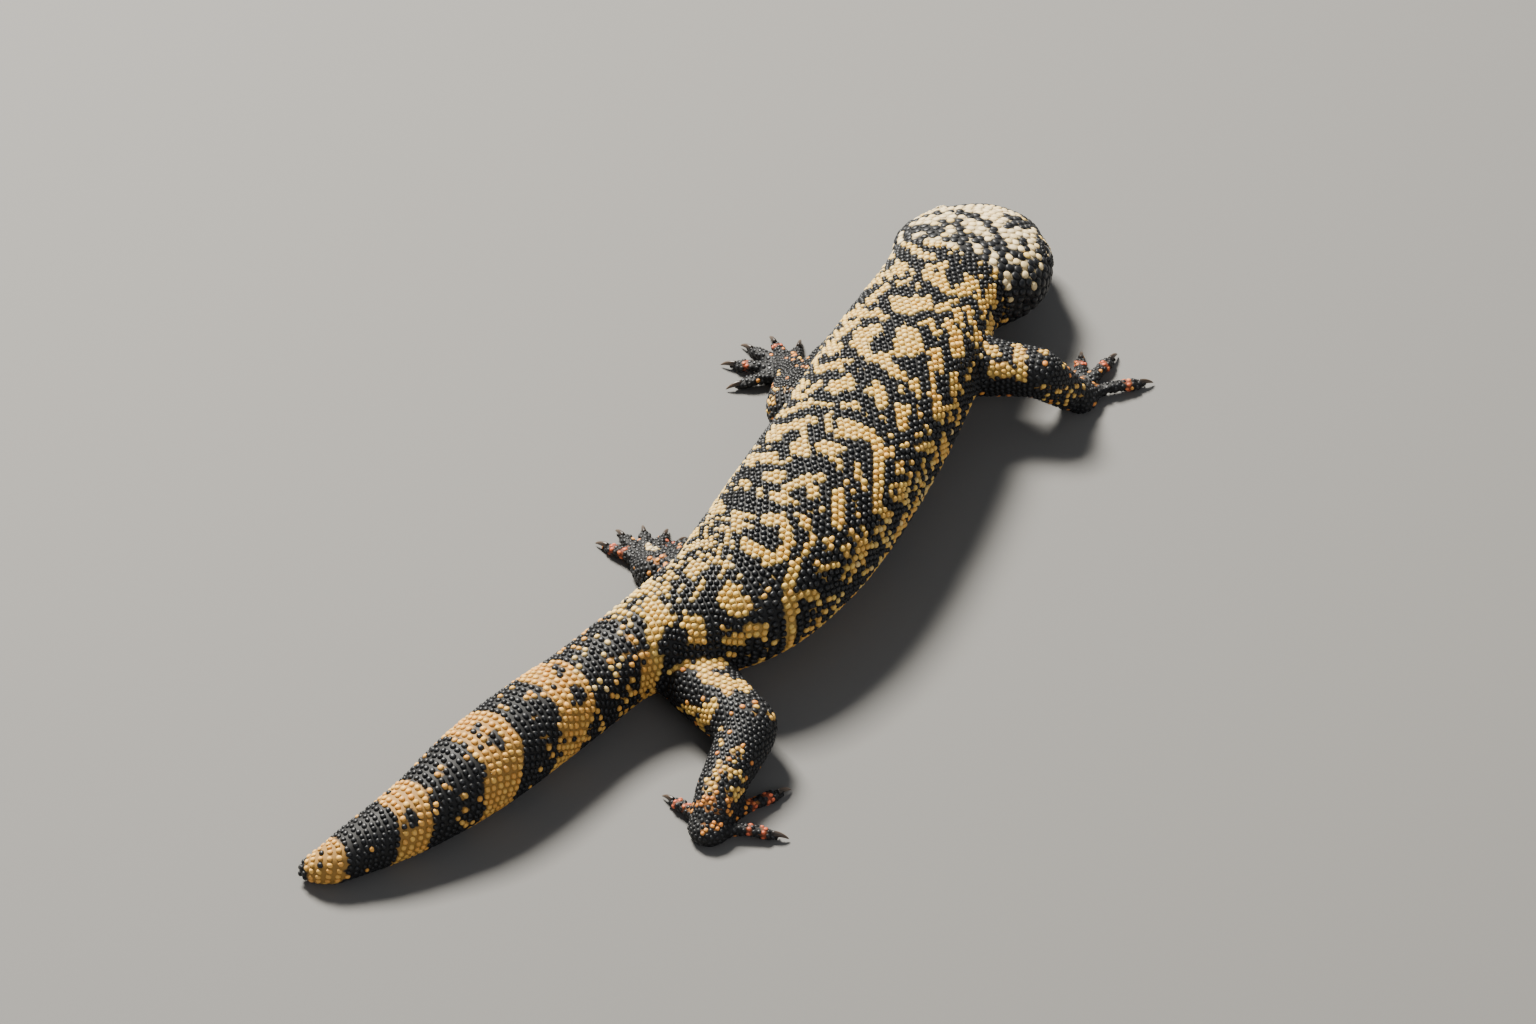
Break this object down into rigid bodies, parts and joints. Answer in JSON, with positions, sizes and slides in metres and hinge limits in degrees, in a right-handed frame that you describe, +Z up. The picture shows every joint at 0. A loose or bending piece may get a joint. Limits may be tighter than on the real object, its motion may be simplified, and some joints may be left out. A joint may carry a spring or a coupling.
{
  "type": "gila monster",
  "caption": "life-size still model of a gila monster in mid step, body in an S-bend, beaded black and apricot hide, thick tail laid on the floor",
  "frame": {"origin": "middle of the bounding box, on the floor the animal stands on", "axes": "+Y the way the animal walks and its longest extent, +X its right side, +Z up"},
  "size_m": [0.1896, 0.4532, 0.0547],
  "materials": {
    "body_hide": "black and apricot beaded hide, satin",
    "head_hide": "cream and black beaded hide, satin",
    "leg_hide": "black beaded hide with coral beads, satin",
    "eye": "dark wet gloss"
  },
  "bodies": {
    "root": {"eye_left": "eye", "eye_right": "eye", "head": "head_hide", "left_fore_foot": "leg_hide", "left_fore_lower": "leg_hide", "left_fore_upper": "body_hide", "left_hind_foot": "leg_hide", "left_hind_lower": "leg_hide", "left_hind_upper": "body_hide", "lower_jaw": "head_hide", "neck": "body_hide", "right_fore_foot": "leg_hide", "right_fore_lower": "leg_hide", "right_fore_upper": "body_hide", "right_hind_foot": "leg_hide", "right_hind_lower": "leg_hide", "right_hind_upper": "body_hide", "tail_base": "body_hide", "tail_middle": "body_hide", "tail_tip": "body_hide", "torso_fore": "body_hide", "torso_mid": "body_hide", "torso_rear": "body_hide"}
  },
  "joints": []
}
